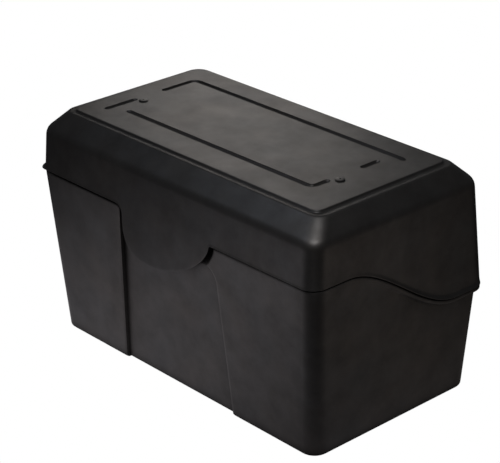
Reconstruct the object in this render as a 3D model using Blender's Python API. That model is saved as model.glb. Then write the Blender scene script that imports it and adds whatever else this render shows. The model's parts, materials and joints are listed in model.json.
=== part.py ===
"""Hinged battery box: a tapered moulded tub, a deep cap lid with a front tongue, and the fittings inside.

Metres, +Z up. The origin is the centre of the tub's underside. +X is the right end, -Y is the front.
"""

import math
from collections import namedtuple

import bmesh
import bpy
from mathutils import Matrix, Vector

MM = 0.001
GAP = 0.0004

# Tub
BASE_LENGTH = 0.550
BASE_WIDTH = 0.306
DRAFT = 0.066
CORNER_RADIUS = 0.0227
FOOT_RADIUS = 0.005
WALL_FOOT = 0.012
WALL = 0.005
FLOOR = 0.006
SEAM_FRONT = 0.262
SEAM_BACK = 0.166
SEAM_START = -0.108
SEAM_END = 0.100
SEAM_GAP = 0.0015
END_REACH = 0.138
RIM_HEIGHT = 0.005
RIM_THICK = 0.0025
RIM_CLEAR_FRONT = 0.0022
RIM_CLEAR = 0.0015
FLANGE_DEPTH = 0.006

# Recess in the tub's front wall, behind and below the tongue
RECESS_CENTRE = -0.006
RECESS_HALF_TOP = 0.0997
RECESS_FLARE = 0.070
RECESS_STEP = 0.0015
RECESS_DEPTH_LOW = 0.005
RECESS_DEPTH_GAIN = 0.010
RECESS_TOP = 0.230
RECESS_CORNER = 0.024
RELIEF_START = 0.232
RELIEF_SLOPE = 0.25
POCKET_SIDE = 0.0065
POCKET_UNDER = 0.008

# Lid
CREASE_HEIGHT = 0.324
TOP_HEIGHT = 0.353
CREASE_HALF_LENGTH = 0.2895
CREASE_FRONT = -0.1668
CREASE_BACK = 0.150
END_SLOPE = 0.032
FRONT_SLOPE = 0.073
BACK_SLOPE = 0.086
PANEL_HALF_LENGTH = 0.2555
PANEL_FRONT = -0.1298
PANEL_BACK = 0.1164
PANEL_RADIUS = 0.012
PANEL_STEP = 0.003
LEDGE = 0.008
END_LEDGE = 0.012
LID_WALL = 0.004
PANEL_THICK = 0.0045
LIP_OUT = 0.0026
LIP_HEIGHT = 0.006
TONGUE_LEFT = -0.0965
TONGUE_LOWEST_X = -0.030
TONGUE_RIGHT = 0.090
TONGUE_DROP = 0.0715
TONGUE_LEFT_POWER = 3.0
TONGUE_RIGHT_POWER = 1.7

# Grooves in the lid's raised panel
GROOVE_WIDTH = 0.009
GROOVE_DEPTH = 0.003
GROOVE_BEND = 0.010

# Vent plugs in the lid's panel
VENT_PLACES = {"left": (-0.208, -0.036), "right": (0.203, -0.036)}
VENT_HOLE_RADIUS = 0.004
PLUG_HEAD_RADIUS = 0.0070
PLUG_HEAD_HEIGHT = 0.0022
PLUG_STEM_RADIUS = 0.0036
PLUG_BARB_RADIUS = 0.0046
PLUG_BARB_LENGTH = 0.0028
PLUG_AIR_RADIUS = 0.0012

# Hinges on the back wall
HINGE_X = {"left": -0.150, "right": 0.150}
HINGE_Y = 0.1693
HINGE_LENGTH = 0.070
BARREL_RADIUS = 0.0045
PIN_RADIUS = 0.0024
BORE_RADIUS = 0.0028
PIN_HEAD_RADIUS = 0.0040
PIN_HEAD_HEIGHT = 0.0022
OUTER_KNUCKLE_LENGTH = 0.021
LEAF_THICK = 0.002
LEAF_HEIGHT = 0.034
LEAF_TUB_INSET = 0.0050
LEAF_LID_INSET = 0.00535
SCREW_DROP = 0.022
SCREW_SPACING = 0.022
SCREW_RADIUS = 0.0024
SCREW_HEAD_RADIUS = 0.0046
SCREW_HEAD_HEIGHT = 0.0030
SCREW_LENGTH = 0.011

# Cable glands in the left end
GLAND_Y = {"front": -0.112, "rear": -0.072}
GLAND_HEIGHT = 0.208
GLAND_THREAD_RADIUS = 0.010
GLAND_BORE_RADIUS = 0.0068
GLAND_THREAD_LENGTH = 0.015
GLAND_COLLAR_RADIUS = 0.0125
GLAND_COLLAR_HEIGHT = 0.0055
GLAND_NECK_RADIUS = 0.0088
GLAND_NECK_TOP = 0.0160
DOME_RADIUS = 0.0120
DOME_BORE_RADIUS = 0.0092
DOME_MOUTH_RADIUS = 0.0055
DOME_TOP = 0.0235
SEAL_RADIUS = 0.0064
SEAL_BORE_RADIUS = 0.0050
SEAL_TOP = 0.0180
LOCK_NUT_ACROSS_FLATS = 0.026
LOCK_NUT_OUTER_FACE = -0.0078
LOCK_NUT_THICK = 0.0047

# Battery mat and hold-down
MAT_SIZE = (0.520, 0.236, 0.003)
ROD_Y = {"front": -0.131, "rear": 0.131}
ROD_RADIUS = 0.0039
ROD_BOTTOM = 0.0125
ROD_TOP = 0.268
BOSS_RADIUS = 0.0095
BOSS_TOP = 0.026
INSERT_RADIUS = 0.007
INSERT_FLOOR = 0.011
BAR_UNDERSIDE = 0.236
BAR_HEIGHT = 0.012
BAR_WIDTH = 0.030
BAR_LENGTH = 0.294
BAR_THICK = 0.0025
ROD_CHAMFER = 0.0009
WASHER_RADIUS = 0.0105
WASHER_THICK = 0.0016
NUT_HEIGHT = 0.0080
NUT_FOOT_RADIUS = 0.0080
NUT_TOP_RADIUS = 0.0062
EAR_ROOT_X = 0.0058
EAR_REACH = 0.0140
EAR_TOP = 0.0130
EAR_THICK = 0.0024

BLACK_PLASTIC = ((0.020, 0.019, 0.019), 0.55, 0.0)
ZINC_STEEL = ((0.55, 0.55, 0.56), 0.35, 1.0)
PAINTED_STEEL = ((0.035, 0.035, 0.038), 0.45, 0.0)
BRASS = ((0.62, 0.46, 0.20), 0.35, 1.0)
BLACK_RUBBER = ((0.015, 0.015, 0.016), 0.85, 0.0)
GLAND_NYLON = ((0.030, 0.030, 0.032), 0.50, 0.0)

Outline = namedtuple("Outline", "half_length front back radius")
Station = namedtuple("Station", "side zone along seam")


def clear_scene():
    for obj in list(bpy.data.objects):
        bpy.data.objects.remove(obj, do_unlink=True)


def material(name, look):
    colour, roughness, metallic = look
    found = bpy.data.materials.get(name)
    if found:
        return found
    made = bpy.data.materials.new(name)
    made.use_nodes = True
    shader = made.node_tree.nodes["Principled BSDF"]
    shader.inputs["Base Color"].default_value = (*colour, 1.0)
    shader.inputs["Roughness"].default_value = roughness
    shader.inputs["Metallic"].default_value = metallic
    return made


def add_object(name, mesh, look_name, look, smooth_degrees=None):
    obj = bpy.data.objects.new(name, mesh)
    bpy.context.collection.objects.link(obj)
    mesh.materials.append(material(look_name, look))
    if smooth_degrees:
        mesh.shade_smooth()
        mesh.set_sharp_from_angle(angle=math.radians(smooth_degrees))
    return obj


def mesh_from(name, build):
    """A mesh whose faces point outwards, filled in by build(bm)."""
    bm = bmesh.new()
    build(bm)
    bmesh.ops.recalc_face_normals(bm, faces=bm.faces)
    mesh = bpy.data.meshes.new(name)
    bm.to_mesh(mesh)
    bm.free()
    return mesh


def lerp(low, high, share):
    return low + (high - low) * share


def bridge(bm, rings, close_last_to_first=False):
    """Joins rings of equal length with quads. Caps the first and last ring unless they join up."""
    rows = [[bm.verts.new(point) for point in ring] for ring in rings]
    pairs = list(zip(rows, rows[1:]))
    if close_last_to_first:
        pairs.append((rows[-1], rows[0]))
    for low, high in pairs:
        for here in range(len(low)):
            after = (here + 1) % len(low)
            bm.faces.new((low[here], low[after], high[after], high[here]))
    if not close_last_to_first:
        bm.faces.new(rows[0])
        bm.faces.new(rows[-1])


def lathe_mesh(name, profile, segments=20):
    """Turns a closed profile of (radius, height) round Z. Radius 0 makes a solid end."""

    def build(bm):
        solid = [(r, z) for r, z in profile if r > 0]
        rings = []
        for radius, height in solid:
            ring = []
            for step in range(segments):
                angle = math.tau * step / segments
                ring.append((radius * math.cos(angle), radius * math.sin(angle), height))
            rings.append(ring)
        bridge(bm, rings, close_last_to_first=len(solid) == len(profile))

    return mesh_from(name, build)


def prism_mesh(name, corners, low, high, axis="Z"):
    """Extrudes a polygon. Corners are (x, y) for Z, and (y, z) for X, (x, z) for Y."""

    def corner_place(corner, along):
        first, second = corner
        if axis == "X":
            return (along, first, second)
        if axis == "Y":
            return (first, along, second)
        return (first, second, along)

    def build(bm):
        bridge(bm, [[corner_place(corner, end) for corner in corners] for end in (low, high)])

    return mesh_from(name, build)


def box_corners(half_width, half_height, centre=(0.0, 0.0)):
    x, y = centre
    return [
        (x - half_width, y - half_height),
        (x + half_width, y - half_height),
        (x + half_width, y + half_height),
        (x - half_width, y + half_height),
    ]


def circle_corners(radius, segments=16, centre=(0.0, 0.0)):
    points = []
    for step in range(segments):
        angle = math.tau * (step + 0.5) / segments
        points.append((centre[0] + radius * math.cos(angle), centre[1] + radius * math.sin(angle)))
    return points


def cutter(name, mesh, matrix=None):
    obj = bpy.data.objects.new(name, mesh)
    bpy.context.collection.objects.link(obj)
    obj.hide_render = True
    obj.display_type = "WIRE"
    if matrix is not None:
        obj.matrix_world = matrix
    return obj


def boolean(obj, other, operation):
    step = obj.modifiers.new(f"{operation.lower()}_{other.name}", "BOOLEAN")
    step.operation = operation
    step.solver = "EXACT"
    step.object = other


# ---------------------------------------------------------------- outlines of the tub and lid


def tub_outline(height):
    grow = DRAFT * height
    return Outline(BASE_LENGTH / 2 + grow, -BASE_WIDTH / 2 - grow, BASE_WIDTH / 2 + grow, CORNER_RADIUS)


def lid_outline(height):
    below = CREASE_HEIGHT - height
    return Outline(
        CREASE_HALF_LENGTH + END_SLOPE * below,
        CREASE_FRONT - FRONT_SLOPE * below,
        CREASE_BACK + BACK_SLOPE * below,
        CORNER_RADIUS,
    )


def panel_outline():
    return Outline(PANEL_HALF_LENGTH, PANEL_FRONT, PANEL_BACK, PANEL_RADIUS)


def grown(outline, out, back_out=None):
    back = out if back_out is None else back_out
    return Outline(
        outline.half_length + out, outline.front - out, outline.back + back, max(outline.radius + out, 0.004)
    )


def ledge_outline():
    """Where the ledge round the raised panel meets the chamfer. The ledge is wider at the two ends."""
    return grown(panel_outline(), LEDGE)._replace(half_length=PANEL_HALF_LENGTH + END_LEDGE)


def rim_outline(height):
    """Outside of the upstand that the lid's skirt hides."""
    tub, lid = tub_outline(height), lid_outline(height)
    return Outline(
        min(lid.half_length - LID_WALL - RIM_CLEAR, tub.half_length - RIM_THICK),
        max(lid.front + LID_WALL + RIM_CLEAR_FRONT, tub.front + RIM_THICK),
        min(lid.back - LID_WALL - RIM_CLEAR, tub.back - RIM_THICK),
        CORNER_RADIUS - LID_WALL,
    )


def flange_outline(height):
    """The tub's rim flange, which reaches out to the lid's skirt where the skirt stands proud."""
    tub, lid = tub_outline(height), lid_outline(height)
    return Outline(max(tub.half_length, lid.half_length), tub.front, tub.back, CORNER_RADIUS)


def seam_height(y):
    """The seam is high at the front, low at the back, and runs down each end in an S."""
    share = min(max((y - SEAM_START) / (SEAM_END - SEAM_START), 0.0), 1.0)
    return lerp(SEAM_FRONT, SEAM_BACK, share * share * (3 - 2 * share))


def recess_sides(height):
    """The recess's straight, slanting sides, carried on up to the seam."""
    half = RECESS_HALF_TOP + RECESS_FLARE * (SEAM_FRONT - height)
    return RECESS_CENTRE - half, RECESS_CENTRE + half


def pocket_edge(height):
    """Right edge of the pocket behind the tongue, a little outside the tongue's own edge."""
    drop = max(SEAM_FRONT - height, 0.0) / (TONGUE_DROP + POCKET_UNDER)
    reach = TONGUE_RIGHT - TONGUE_LOWEST_X + POCKET_SIDE
    return TONGUE_LOWEST_X + reach * max(1 - min(drop, 1.0) ** TONGUE_RIGHT_POWER, 0.0) ** (1 / TONGUE_RIGHT_POWER)


def recess_edges(height):
    """The left side runs straight up to the seam. The right one rounds over into the pocket's edge."""
    left, right = recess_sides(height)
    if height > RECESS_TOP:
        return left, pocket_edge(height)
    into_corner = max(height - (RECESS_TOP - RECESS_CORNER), 0.0)
    inset = RECESS_CORNER - math.sqrt(RECESS_CORNER**2 - into_corner**2)
    return left, max(right - inset, pocket_edge(height))


def inner_recess_edges(height):
    """Inside the wall the recess stays wide up to the rim, so that the wall keeps its thickness."""
    left, right = recess_sides(height)
    return left, max(right, pocket_edge(height))


def recess_depth(height):
    """Shallow down the whole wall, and deeper under the rim so that the tongue swings clear."""
    relief = max(height - RELIEF_START, 0.0) * RELIEF_SLOPE
    return RECESS_DEPTH_LOW + RECESS_DEPTH_GAIN * height + relief


def tongue_edge(x):
    """Height of the lid's lower edge along the tongue, a lopsided superellipse."""
    if x < TONGUE_LOWEST_X:
        reach = (TONGUE_LOWEST_X - x) / (TONGUE_LOWEST_X - TONGUE_LEFT)
        power = TONGUE_LEFT_POWER
    else:
        reach = (x - TONGUE_LOWEST_X) / (TONGUE_RIGHT - TONGUE_LOWEST_X)
        power = TONGUE_RIGHT_POWER
    drop = max(1 - min(reach, 1.0) ** power, 0.0) ** (1 / power)
    return SEAM_FRONT - TONGUE_DROP * drop


def tongue_x(along):
    """Spreads stations so that they crowd at the tongue's steep sides. Along runs from -1 to 1."""
    reach = math.sin(along * math.pi / 2)
    if reach < 0:
        return TONGUE_LOWEST_X + reach * (TONGUE_LOWEST_X - TONGUE_LEFT)
    return TONGUE_LOWEST_X + reach * (TONGUE_RIGHT - TONGUE_LOWEST_X)


def shared_stations(front_stations):
    """Stations round the whole outline, anticlockwise from the right end's front."""
    stations = []
    end_steps, corner_steps, back_steps = 14, 4, 4
    for step in range(1, end_steps):
        along = step / end_steps
        stations.append(Station("right", None, along, seam_height(lerp(-END_REACH, END_REACH, along))))
    for step in range(corner_steps + 1):
        stations.append(Station("back_right", None, step / corner_steps, SEAM_BACK))
    for step in range(1, back_steps):
        stations.append(Station("back", None, step / back_steps, SEAM_BACK))
    for step in range(corner_steps + 1):
        stations.append(Station("back_left", None, step / corner_steps, SEAM_BACK))
    for step in range(1, end_steps):
        along = step / end_steps
        stations.append(Station("left", None, along, seam_height(lerp(END_REACH, -END_REACH, along))))
    for step in range(corner_steps + 1):
        stations.append(Station("front_left", None, step / corner_steps, SEAM_FRONT))
    stations.extend(front_stations)
    for step in range(corner_steps + 1):
        stations.append(Station("front_right", None, step / corner_steps, SEAM_FRONT))
    return stations


def tub_stations():
    front = [Station("front", "left_flank", along, SEAM_FRONT) for along in (0.5, 1.0)]
    front += [Station("front", "panel", step / 6, SEAM_FRONT) for step in range(7)]
    front += [Station("front", "right_flank", along, SEAM_FRONT) for along in (0.0, 0.5)]
    return shared_stations(front)


def lid_stations():
    side_steps = 8
    front = [Station("front", "left_skirt", along, SEAM_FRONT) for along in (0.5, 1.0)]
    for step in range(-side_steps + 1, side_steps):
        front.append(Station("front", "tongue", step / side_steps, SEAM_FRONT))
    front += [Station("front", "right_skirt", along, SEAM_FRONT) for along in (0.0, 0.5)]
    return shared_stations(front)


def corner_point(outline, along, turn_start, side_x, centre_y):
    angle = turn_start + along * math.pi / 2
    x = side_x * (outline.half_length - outline.radius) + outline.radius * math.cos(angle)
    return x, centre_y + outline.radius * math.sin(angle)


def end_y(along, front_centre, back_centre):
    """The same Y on every ring that follows the seam, drawn in where the outline is too narrow for it."""
    y = lerp(-END_REACH, END_REACH, along)
    room = -front_centre if y < 0 else back_centre
    return y * min(room / END_REACH, 1.0)


def front_x(station, outline, height, widen):
    straight = outline.half_length - outline.radius
    left, right = inner_recess_edges(height) if widen else recess_edges(height)
    left, right = left - widen, right + widen
    if station.zone == "tongue":
        return tongue_x(station.along)
    if station.zone == "left_skirt":
        return lerp(-straight, TONGUE_LEFT - RECESS_STEP, station.along)
    if station.zone == "right_skirt":
        return lerp(TONGUE_RIGHT + RECESS_STEP, straight, station.along)
    if station.zone == "panel":
        return lerp(left, right, station.along)
    if station.zone == "left_flank":
        return lerp(-straight, left - RECESS_STEP, station.along)
    return lerp(right + RECESS_STEP, straight, station.along)


def station_point(station, outline, height, widen=0.0):
    """(x, y) where this station meets an outline. Widen moves the recess's two edges apart."""
    front_centre = outline.front + outline.radius
    back_centre = outline.back - outline.radius
    if station.side == "right":
        return outline.half_length, end_y(station.along, front_centre, back_centre)
    if station.side == "back_right":
        return corner_point(outline, station.along, 0.0, 1, back_centre)
    if station.side == "back":
        straight = outline.half_length - outline.radius
        return lerp(straight, -straight, station.along), outline.back
    if station.side == "back_left":
        return corner_point(outline, station.along, math.pi / 2, -1, back_centre)
    if station.side == "left":
        return -outline.half_length, end_y(1 - station.along, front_centre, back_centre)
    if station.side == "front_left":
        return corner_point(outline, station.along, math.pi, -1, front_centre)
    if station.side == "front_right":
        return corner_point(outline, station.along, -math.pi / 2, 1, front_centre)
    return front_x(station, outline, height, widen), outline.front


# ---------------------------------------------------------------- tub


def tub_ring(stations, height_at, outline_at, widen):
    """One ring of the tub. height_at(station) and outline_at(height) give its level and its size."""
    ring = []
    for station in stations:
        height = height_at(station)
        x, y = station_point(station, outline_at(height), height, widen)
        if station.zone == "panel":
            y += recess_depth(height)
        ring.append((x, y, height))
    return ring


def inside_tub(inset):
    return lambda height: grown(tub_outline(height), -inset)


def inside_rim(height):
    return grown(rim_outline(height), -RIM_THICK)


def corner_heights():
    """Levels that follow the recess's rounded top corners, then the relief above them."""
    rounded = [RECESS_TOP - RECESS_CORNER * (1 - share) for share in (0.0, 0.3, 0.55, 0.75, 0.92)]
    return rounded + [RECESS_TOP + rise for rise in (0.0005, 0.006, 0.013)]


def tub_rings():
    stations = tub_stations()
    inner_foot = 0.020
    flange_top = SEAM_GAP
    flange_low = flange_top + FLANGE_DEPTH
    flange_foot = flange_low + 0.003
    rings = []

    def level(height, outline_at, widen=0.0):
        rings.append(tub_ring(stations, lambda station: height, outline_at, widen))

    def below_seam(depth, outline_at, widen=0.0):
        rings.append(tub_ring(stations, lambda station: station.seam - depth, outline_at, widen))

    def up_the_wall(share, foot, outline_at, widen=0.0):
        def height_at(station):
            return lerp(foot, station.seam - flange_foot, share)

        rings.append(tub_ring(stations, height_at, outline_at, widen))

    # Outside, upwards: the rounded foot, then the drafted wall
    for turn in (0.0, 0.5, 1.0):
        angle = turn * math.pi / 2
        level(FOOT_RADIUS * (1 - math.cos(angle)), inside_tub(FOOT_RADIUS * (1 - math.sin(angle))))
    level(WALL_FOOT, tub_outline)
    up_the_wall(0.4, WALL_FOOT, tub_outline)
    for front_height in corner_heights():
        share = (front_height - WALL_FOOT) / (SEAM_FRONT - flange_foot - WALL_FOOT)
        up_the_wall(share, WALL_FOOT, tub_outline)
    # The flange, the ledge under the lid's edge and the upstand inside the skirt
    below_seam(flange_foot, tub_outline)
    below_seam(flange_low, flange_outline)
    below_seam(flange_top, flange_outline)
    below_seam(flange_top, rim_outline, RIM_THICK)
    below_seam(-RIM_HEIGHT, rim_outline, RIM_THICK)
    below_seam(-RIM_HEIGHT, inside_rim, 2 * RIM_THICK)
    below_seam(flange_foot, inside_rim, 2 * RIM_THICK)
    # Inside, downwards to the floor
    for share in (0.87, 0.5):
        up_the_wall(share, inner_foot, inside_tub(WALL), WALL)
    level(inner_foot, inside_tub(WALL), WALL)
    level(FLOOR + 0.002, inside_tub(WALL + 0.001), WALL)
    level(FLOOR, inside_tub(WALL + 0.003), WALL)
    return rings


def screw_matrices(part):
    """Where each hinge screw sits: local +Z points out of the wall."""
    places = {}
    direction = -1 if part == "tub" else 1
    inset = LEAF_TUB_INSET if part == "tub" else LEAF_LID_INSET
    lean = leaf_lean(part)
    for side, x in HINGE_X.items():
        for label, offset in (("inner", -SCREW_SPACING), ("outer", SCREW_SPACING)):
            shift = offset if side == "right" else -offset
            local = Matrix.Translation((shift, -inset + LEAF_THICK, direction * SCREW_DROP))
            out = Matrix.Rotation(-math.pi / 2, 4, "X")
            hinge = Matrix.Translation((x, HINGE_Y, SEAM_BACK)) @ Matrix.Rotation(lean, 4, "X")
            places[f"{side}_{part}_{label}"] = hinge @ local @ out
    return places


def leaf_lean(part):
    """Tilt about X that lays a leaf along its drafted wall."""
    return -math.atan(DRAFT) if part == "tub" else math.atan(BACK_SLOPE)


def build_tub():
    mesh = mesh_from("tub", lambda bm: bridge(bm, tub_rings()))
    tub = add_object("tub", mesh, "black_plastic", BLACK_PLASTIC, 30)
    for name, y in ROD_Y.items():
        boss = prism_mesh(f"boss_{name}", circle_corners(BOSS_RADIUS, centre=(0.0, y)), FLOOR / 2, BOSS_TOP)
        boolean(tub, cutter(f"boss_{name}", boss), "UNION")
        hole_radius = INSERT_RADIUS + GAP
        hole = prism_mesh(
            f"boss_hole_{name}", circle_corners(hole_radius, centre=(0.0, y)), INSERT_FLOOR, 2 * BOSS_TOP
        )
        boolean(tub, cutter(f"boss_hole_{name}", hole), "DIFFERENCE")
    for name, y in GLAND_Y.items():
        hole = prism_mesh(f"gland_hole_{name}", circle_corners(GLAND_THREAD_RADIUS + GAP), -0.03, 0.03)
        boolean(tub, cutter(f"gland_hole_{name}", hole, gland_matrix(y)), "DIFFERENCE")
    drill_screw_holes(tub, "tub")
    return tub


def drill_screw_holes(obj, part):
    for name, matrix in screw_matrices(part).items():
        hole = prism_mesh(f"hole_{name}", circle_corners(SCREW_RADIUS + GAP, 12), -0.02, 0.02)
        boolean(obj, cutter(f"hole_{name}", hole, matrix), "DIFFERENCE")


# ---------------------------------------------------------------- lid


def lid_edge(station):
    if station.zone == "tongue":
        return tongue_edge(tongue_x(station.along))
    return station.seam


def lid_ring(stations, height_at, outline_at):
    ring = []
    for station in stations:
        height = height_at(station)
        x, y = station_point(station, outline_at(height), height)
        ring.append((x, y, height))
    return ring


def inner_wall(height):
    return grown(lid_outline(height), -LID_WALL)


def lid_rings():
    stations = lid_stations()
    rings = []
    skirt = 0.014
    crease_round = 0.006
    inner_top = TOP_HEIGHT - PANEL_THICK

    def level(height, outline):
        rings.append(lid_ring(stations, lambda station: height, lambda z: outline))

    def above_edge(rise, out):
        def outline_at(height):
            return grown(lid_outline(height), out, min(out, 0.0))

        rings.append(lid_ring(stations, lambda station: lid_edge(station) + rise, outline_at))

    # Outside, downwards: panel, step, ledge, chamfer, rounded crease, skirt and flared lip
    panel = panel_outline()
    ledge_height = TOP_HEIGHT - PANEL_STEP
    level(TOP_HEIGHT, grown(panel, -0.001))
    level(TOP_HEIGHT - 0.001, panel)
    level(ledge_height, grown(panel, 0.0006))
    upper = ledge_outline()
    level(ledge_height, grown(upper, -0.001))
    level(ledge_height - 0.001, upper)
    crease = lid_outline(CREASE_HEIGHT)
    for share in (0.82, 0.95):
        level(lerp(ledge_height - 0.001, CREASE_HEIGHT, share), blend_outline(upper, crease, share - 0.02))
    level(CREASE_HEIGHT - crease_round, lid_outline(CREASE_HEIGHT - crease_round))
    rings.append(lid_ring(stations, lambda s: s.seam + skirt, lid_outline))
    above_edge(LIP_HEIGHT, 0.0)
    above_edge(LIP_HEIGHT * 0.45, LIP_OUT * 0.4)
    above_edge(LIP_HEIGHT * 0.15, LIP_OUT)
    above_edge(0.0, LIP_OUT * 0.75)
    # Inside, upwards to the underside of the panel
    above_edge(0.0, -LID_WALL)
    rings.append(lid_ring(stations, lambda s: s.seam + skirt, inner_wall))
    level(CREASE_HEIGHT - crease_round, inner_wall(CREASE_HEIGHT - crease_round))
    level(CREASE_HEIGHT - 0.003, grown(crease, -LID_WALL - 0.001))
    level(inner_top, grown(panel, LEDGE - 0.004))
    return rings


def blend_outline(first, second, share):
    return Outline(*(lerp(a, b, share) for a, b in zip(first, second)))


def arc(centre, radius, start_degrees, end_degrees, steps=4):
    points = []
    for step in range(steps + 1):
        angle = math.radians(lerp(start_degrees, end_degrees, step / steps))
        points.append((centre[0] + radius * math.cos(angle), centre[1] + radius * math.sin(angle)))
    return points


def groove_paths():
    """Centre lines of the panel's grooves: a back one that turns down the left side, a front one that turns
    up the right side, and a short dash beyond the gap on each side."""
    left, right = -0.221, 0.193
    back, front = 0.076, -0.078
    bend = GROOVE_BEND
    back_groove = [(left, 0.016)]
    back_groove += arc((left + bend, back - bend), bend, 180, 90)
    back_groove += arc((0.207, back - bend), bend, 90, 55)
    front_groove = [(-0.189, front)]
    front_groove += arc((right - bend, front + bend), bend, -90, 0)
    front_groove += [(right, -0.050)]
    left_dash = [(left, -0.042), (left, -0.093)]
    right_dash = [(right, 0.018), (right, 0.045)]
    return {"back": back_groove, "front": front_groove, "left_dash": left_dash, "right_dash": right_dash}


def strip_corners(path, width):
    """The closed outline of a strip of even width along a path."""
    left, right = [], []
    for index, point in enumerate(path):
        before = Vector(path[max(index - 1, 0)])
        after = Vector(path[min(index + 1, len(path) - 1)])
        direction = (after - before).normalized()
        across = Vector((-direction.y, direction.x)) * width / 2
        left.append(tuple(Vector(point) + across))
        right.append(tuple(Vector(point) - across))
    return left + right[::-1]


def build_lid():
    mesh = mesh_from("lid", lambda bm: bridge(bm, lid_rings()))
    lid = add_object("lid", mesh, "black_plastic", BLACK_PLASTIC, 30)
    for name, path in groove_paths().items():
        strip = prism_mesh(
            f"groove_{name}", strip_corners(path, GROOVE_WIDTH), TOP_HEIGHT - GROOVE_DEPTH, TOP_HEIGHT + 0.01
        )
        boolean(lid, cutter(f"groove_{name}", strip), "DIFFERENCE")
    for name, (x, y) in VENT_PLACES.items():
        hole = prism_mesh(
            f"vent_hole_{name}", circle_corners(VENT_HOLE_RADIUS, centre=(x, y)), TOP_HEIGHT - 0.02, TOP_HEIGHT + 0.01
        )
        boolean(lid, cutter(f"vent_hole_{name}", hole), "DIFFERENCE")
    drill_screw_holes(lid, "lid")
    return lid


def build_vent_plugs():
    """Breather plugs: a low domed head, a stem through the panel and a barb under it."""
    under = -PANEL_THICK - GAP
    profile = [
        (PLUG_AIR_RADIUS, PLUG_HEAD_HEIGHT),
        (PLUG_HEAD_RADIUS * 0.7, PLUG_HEAD_HEIGHT * 0.9),
        (PLUG_HEAD_RADIUS * 0.97, PLUG_HEAD_HEIGHT * 0.55),
        (PLUG_HEAD_RADIUS, GAP),
        (PLUG_STEM_RADIUS, GAP),
        (PLUG_STEM_RADIUS, under),
        (PLUG_BARB_RADIUS, under - GAP),
        (PLUG_STEM_RADIUS, under - PLUG_BARB_LENGTH),
        (PLUG_AIR_RADIUS, under - PLUG_BARB_LENGTH),
    ]
    for name, (x, y) in VENT_PLACES.items():
        mesh = lathe_mesh(f"vent_plug_{name}", profile)
        plug = add_object(f"vent_plug_{name}", mesh, "black_plastic", BLACK_PLASTIC, 30)
        plug.location = (x, y, TOP_HEIGHT)


# ---------------------------------------------------------------- hinges


def hinge_leaf(side, part):
    """A plate on its wall with knuckles round the pin: two on the tub's leaf, one on the lid's."""
    name = f"hinge_{side}_{part}_leaf"
    inset = LEAF_TUB_INSET if part == "tub" else LEAF_LID_INSET
    direction = -1 if part == "tub" else 1
    half = HINGE_LENGTH / 2
    knuckle_end = half - OUTER_KNUCKLE_LENGTH
    spans = [(-half, -knuckle_end), (knuckle_end, half)]
    clear = BARREL_RADIUS + GAP
    if part == "lid":
        spans = [(-knuckle_end + GAP, knuckle_end - GAP)]
    near, far = direction * clear, direction * LEAF_HEIGHT
    plate = prism_mesh(
        name,
        [(-inset, near), (-inset + LEAF_THICK, near), (-inset + LEAF_THICK, far), (-inset, far)],
        -half,
        half,
        "X",
    )
    leaf = add_object(name, plate, "zinc_steel", ZINC_STEEL, 30)
    leaf.location = (HINGE_X[side], HINGE_Y, SEAM_BACK)
    leaf.rotation_euler = (leaf_lean(part), 0.0, 0.0)
    for index, (low, high) in enumerate(spans):
        knuckle = prism_mesh(f"{name}_knuckle", knuckle_corners(inset, direction), low, high, "X")
        add_to_leaf(leaf, f"{name}_knuckle_{index}", knuckle, "UNION")
    bore = prism_mesh(f"{name}_bore", circle_corners(BORE_RADIUS, 16), -half - 0.01, half + 0.01, "X")
    add_to_leaf(leaf, f"{name}_bore", bore, "DIFFERENCE")
    for index, x in enumerate((-SCREW_SPACING, SCREW_SPACING)):
        centre = (x, direction * SCREW_DROP)
        hole = prism_mesh(f"{name}_hole", circle_corners(SCREW_RADIUS + GAP, 12, centre), -0.02, 0.0, "Y")
        add_to_leaf(leaf, f"{name}_hole_{index}", hole, "DIFFERENCE")


def knuckle_corners(inset, direction):
    """Round the pin, with a flat web that runs into the plate. Corners are (y, z) from the pin's axis."""
    web_end = direction * (BARREL_RADIUS + 0.003)
    web_front = LEAF_THICK - inset
    corners = [(-inset, web_end), (-inset, 0.0)]
    turn = math.pi + math.acos(web_front / BARREL_RADIUS)
    steps = 16
    for step in range(steps + 1):
        angle = math.pi - turn * step / steps
        corners.append((BARREL_RADIUS * math.cos(angle), -direction * BARREL_RADIUS * math.sin(angle)))
    corners.append((web_front, web_end))
    return corners


def add_to_leaf(leaf, name, mesh, operation):
    helper = cutter(name, mesh)
    helper.location = leaf.location
    helper.rotation_euler = leaf.rotation_euler
    boolean(leaf, helper, operation)


def build_hinges():
    half = HINGE_LENGTH / 2
    for side, x in HINGE_X.items():
        hinge_leaf(side, "tub")
        hinge_leaf(side, "lid")
        head_top = half + PIN_HEAD_HEIGHT
        profile = [
            (0.0, -half - GAP),
            (PIN_RADIUS, -half - GAP),
            (PIN_RADIUS, half + GAP),
            (PIN_HEAD_RADIUS, half + GAP),
            (PIN_HEAD_RADIUS * 0.9, head_top),
            (0.0, head_top),
        ]
        pin = add_object(f"hinge_{side}_pin", lathe_mesh(f"hinge_{side}_pin", profile, 16), "zinc_steel", ZINC_STEEL, 30)
        pin.location = (x, HINGE_Y, SEAM_BACK)
        pin.rotation_euler = (0.0, math.pi / 2, 0.0)


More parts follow.
